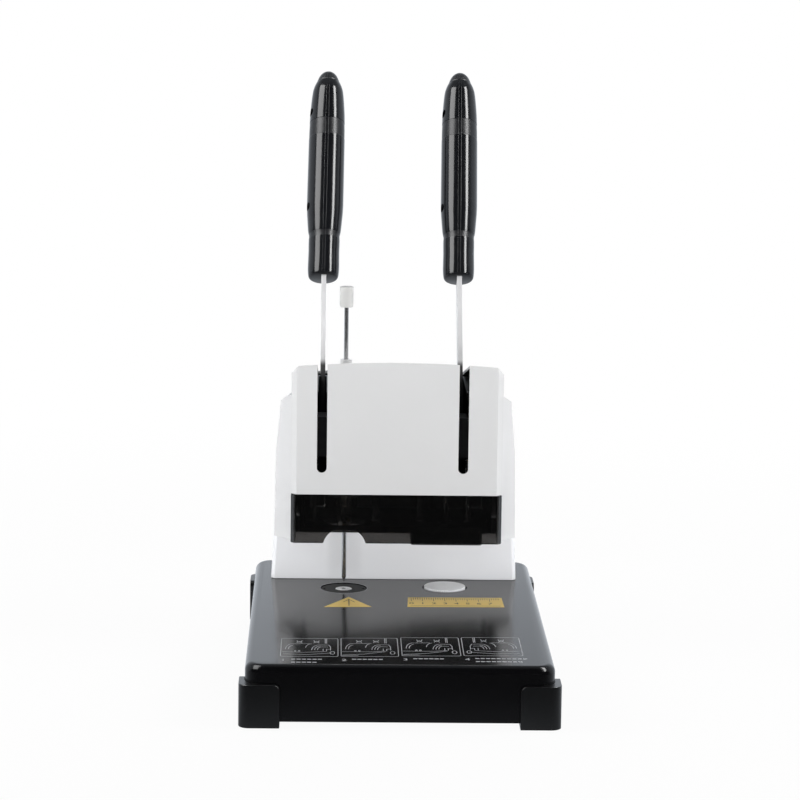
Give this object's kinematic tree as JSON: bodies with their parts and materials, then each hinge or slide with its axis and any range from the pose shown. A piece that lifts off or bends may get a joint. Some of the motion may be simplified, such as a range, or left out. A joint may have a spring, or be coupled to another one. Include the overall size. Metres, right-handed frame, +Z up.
{
  "type": "document riveting machine",
  "caption": "Desk machine that drills a hole through a stack of papers with one hand lever and rivets it with heated tube under the other.",
  "frame": {"origin": "on the table, below the middle of the machine's box from the front feet to the ends of the levers", "axes": "+Z up, +Y away from the user towards the column, +X to the right"},
  "size_m": [0.266, 0.5274, 0.5045],
  "materials": {
    "base_paint": "satin black powder coat with soft reflections",
    "zinc_sheet": "zinc plated sheet steel",
    "frame_paint": "sheet steel painted black",
    "foot_plastic": "satin black moulding",
    "screw_steel": "zinc plated screws",
    "column_plastic": "cool white moulding",
    "housing_plastic": "off-white fine-grained moulding",
    "visor_plastic": "smoke-black translucent acrylic",
    "collar_plastic": "white moulded bush",
    "black_plastic": "black engineering plastic",
    "polished_steel": "ground bright steel",
    "bronze": "sintered bronze",
    "cast_seat": "cast iron",
    "ring_black": "blackened steel",
    "die_steel": "hardened tool steel",
    "lamination": "varnished laminations",
    "circuit_board": "green circuit board",
    "spring_steel": "bright spring wire",
    "lever_steel": "satin plated flat bar",
    "grip_plastic": "gloss black moulded grip",
    "gear_steel": "machined steel",
    "carriage_alloy": "black anodised aluminium",
    "heater_alloy": "machined aluminium",
    "insulator_board": "mica insulating board",
    "knob_plastic": "milky white knob",
    "pad_nylon": "white nylon cutting pad",
    "bearing_steel": "bearing steel",
    "motor_can": "motor can",
    "belt_rubber": "rubber belt"
  },
  "bodies": {
    "chassis": {"base_shell": "base_paint", "base_plate": "zinc_sheet", "foot_front_left": "foot_plastic", "foot_front_right": "foot_plastic", "foot_rear_left": "foot_plastic", "foot_rear_right": "foot_plastic", "case_screws": "screw_steel", "column_skirt": "column_plastic", "rear_cover": "column_plastic", "front_housing": "housing_plastic", "visor": "visor_plastic", "needle_collar": "collar_plastic", "frame_left_cheek": "frame_paint", "frame_right_cheek": "frame_paint", "frame_back_plate": "frame_paint", "frame_top_plate": "frame_paint", "lower_guide_plate": "frame_paint", "drill_guard": "black_plastic", "guide_rods": "polished_steel", "shaft_bushes": "bronze", "frame_bolts": "screw_steel", "station_seats": "cast_seat", "lower_die_ring": "ring_black", "lower_die_insert": "die_steel", "transformer": "lamination", "control_board": "circuit_board", "power_inlet": "black_plastic", "press_return_springs": "spring_steel", "drill_return_springs": "spring_steel"},
    "press_lever": {"press_lever_bar": "lever_steel", "press_grip_left_half": "grip_plastic", "press_grip_right_half": "grip_plastic", "press_grip_screws": "screw_steel", "press_pinion": "gear_steel", "press_shaft": "polished_steel"},
    "press_carriage": {"press_carriage_block": "carriage_alloy", "press_rack": "gear_steel", "heat_insulator": "insulator_board", "heater_block": "heater_alloy", "upper_die": "die_steel"},
    "guide_needle": {"guide_needle": "polished_steel", "needle_knob": "knob_plastic"},
    "drill_lever": {"drill_lever_bar": "lever_steel", "drill_grip_left_half": "grip_plastic", "drill_grip_right_half": "grip_plastic", "drill_grip_screws": "screw_steel", "drill_pinion": "gear_steel", "drill_shaft": "polished_steel"},
    "drill_carriage": {"drill_carriage_block": "carriage_alloy", "drill_rack": "gear_steel", "spindle_bearings": "bearing_steel", "motor_plate": "carriage_alloy", "drill_motor": "motor_can", "drive_belt": "belt_rubber"},
    "drill_spindle": {"drill_spindle": "polished_steel", "drill_chuck": "polished_steel", "hollow_drill": "polished_steel"},
    "motor_rotor": {"motor_pulley": "heater_alloy"},
    "cutting_pad": {"cutting_pad": "pad_nylon"},
    "power_rocker": {"power_rocker": "black_plastic"}
  },
  "joints": [
    {"name": "press_lever_pull", "type": "hinge", "parent": "chassis", "child": "press_lever", "pos_m": [-0.0667, 0.0495, 0.189], "axis": [1, 0, 0], "range_deg": [0, 132]},
    {"name": "press_carriage_travel", "type": "slide", "parent": "chassis", "child": "press_carriage", "axis": [0, 0, -1], "range_m": [0, 0.0525], "stiffness_N_per_m": 600, "springref_m": -0.02, "deforming": ["press_return_springs"]},
    {"name": "drill_lever_pull", "type": "hinge", "parent": "chassis", "child": "drill_lever", "pos_m": [0.0589, 0.0495, 0.189], "axis": [1, 0, 0], "range_deg": [0, 132]},
    {"name": "drill_carriage_travel", "type": "slide", "parent": "chassis", "child": "drill_carriage", "axis": [0, 0, -1], "range_m": [0, 0.0525], "stiffness_N_per_m": 600, "springref_m": -0.02, "deforming": ["drill_return_springs"]},
    {"name": "drill_spin", "type": "hinge", "parent": "drill_carriage", "child": "drill_spindle", "pos_m": [0.0459, 0.0235, 0.182], "axis": [0, 0, 1], "continuous": true},
    {"name": "motor_spin", "type": "hinge", "parent": "drill_carriage", "child": "motor_rotor", "pos_m": [0.04, -0.0048, 0.212], "axis": [0, 0, 1], "continuous": true},
    {"name": "needle_travel", "type": "slide", "parent": "chassis", "child": "guide_needle", "axis": [0, 0, 1], "range_m": [-0.044, 0.04]},
    {"name": "pad_turn", "type": "hinge", "parent": "chassis", "child": "cutting_pad", "pos_m": [0.0459, 0.0285, 0.052], "axis": [0, 0, 1], "continuous": true},
    {"name": "rocker_press", "type": "hinge", "parent": "chassis", "child": "power_rocker", "pos_m": [-0.035, 0.1395, 0.0255], "axis": [1, 0, 0], "range_deg": [0, 18]}
  ],
  "couplings": [
    {"joint": "press_carriage_travel", "follows": "press_lever_pull", "m_per_rad": 0.0225},
    {"joint": "drill_carriage_travel", "follows": "drill_lever_pull", "m_per_rad": 0.0225},
    {"joint": "motor_spin", "follows": "drill_spin", "ratio": 1.64}
  ]
}
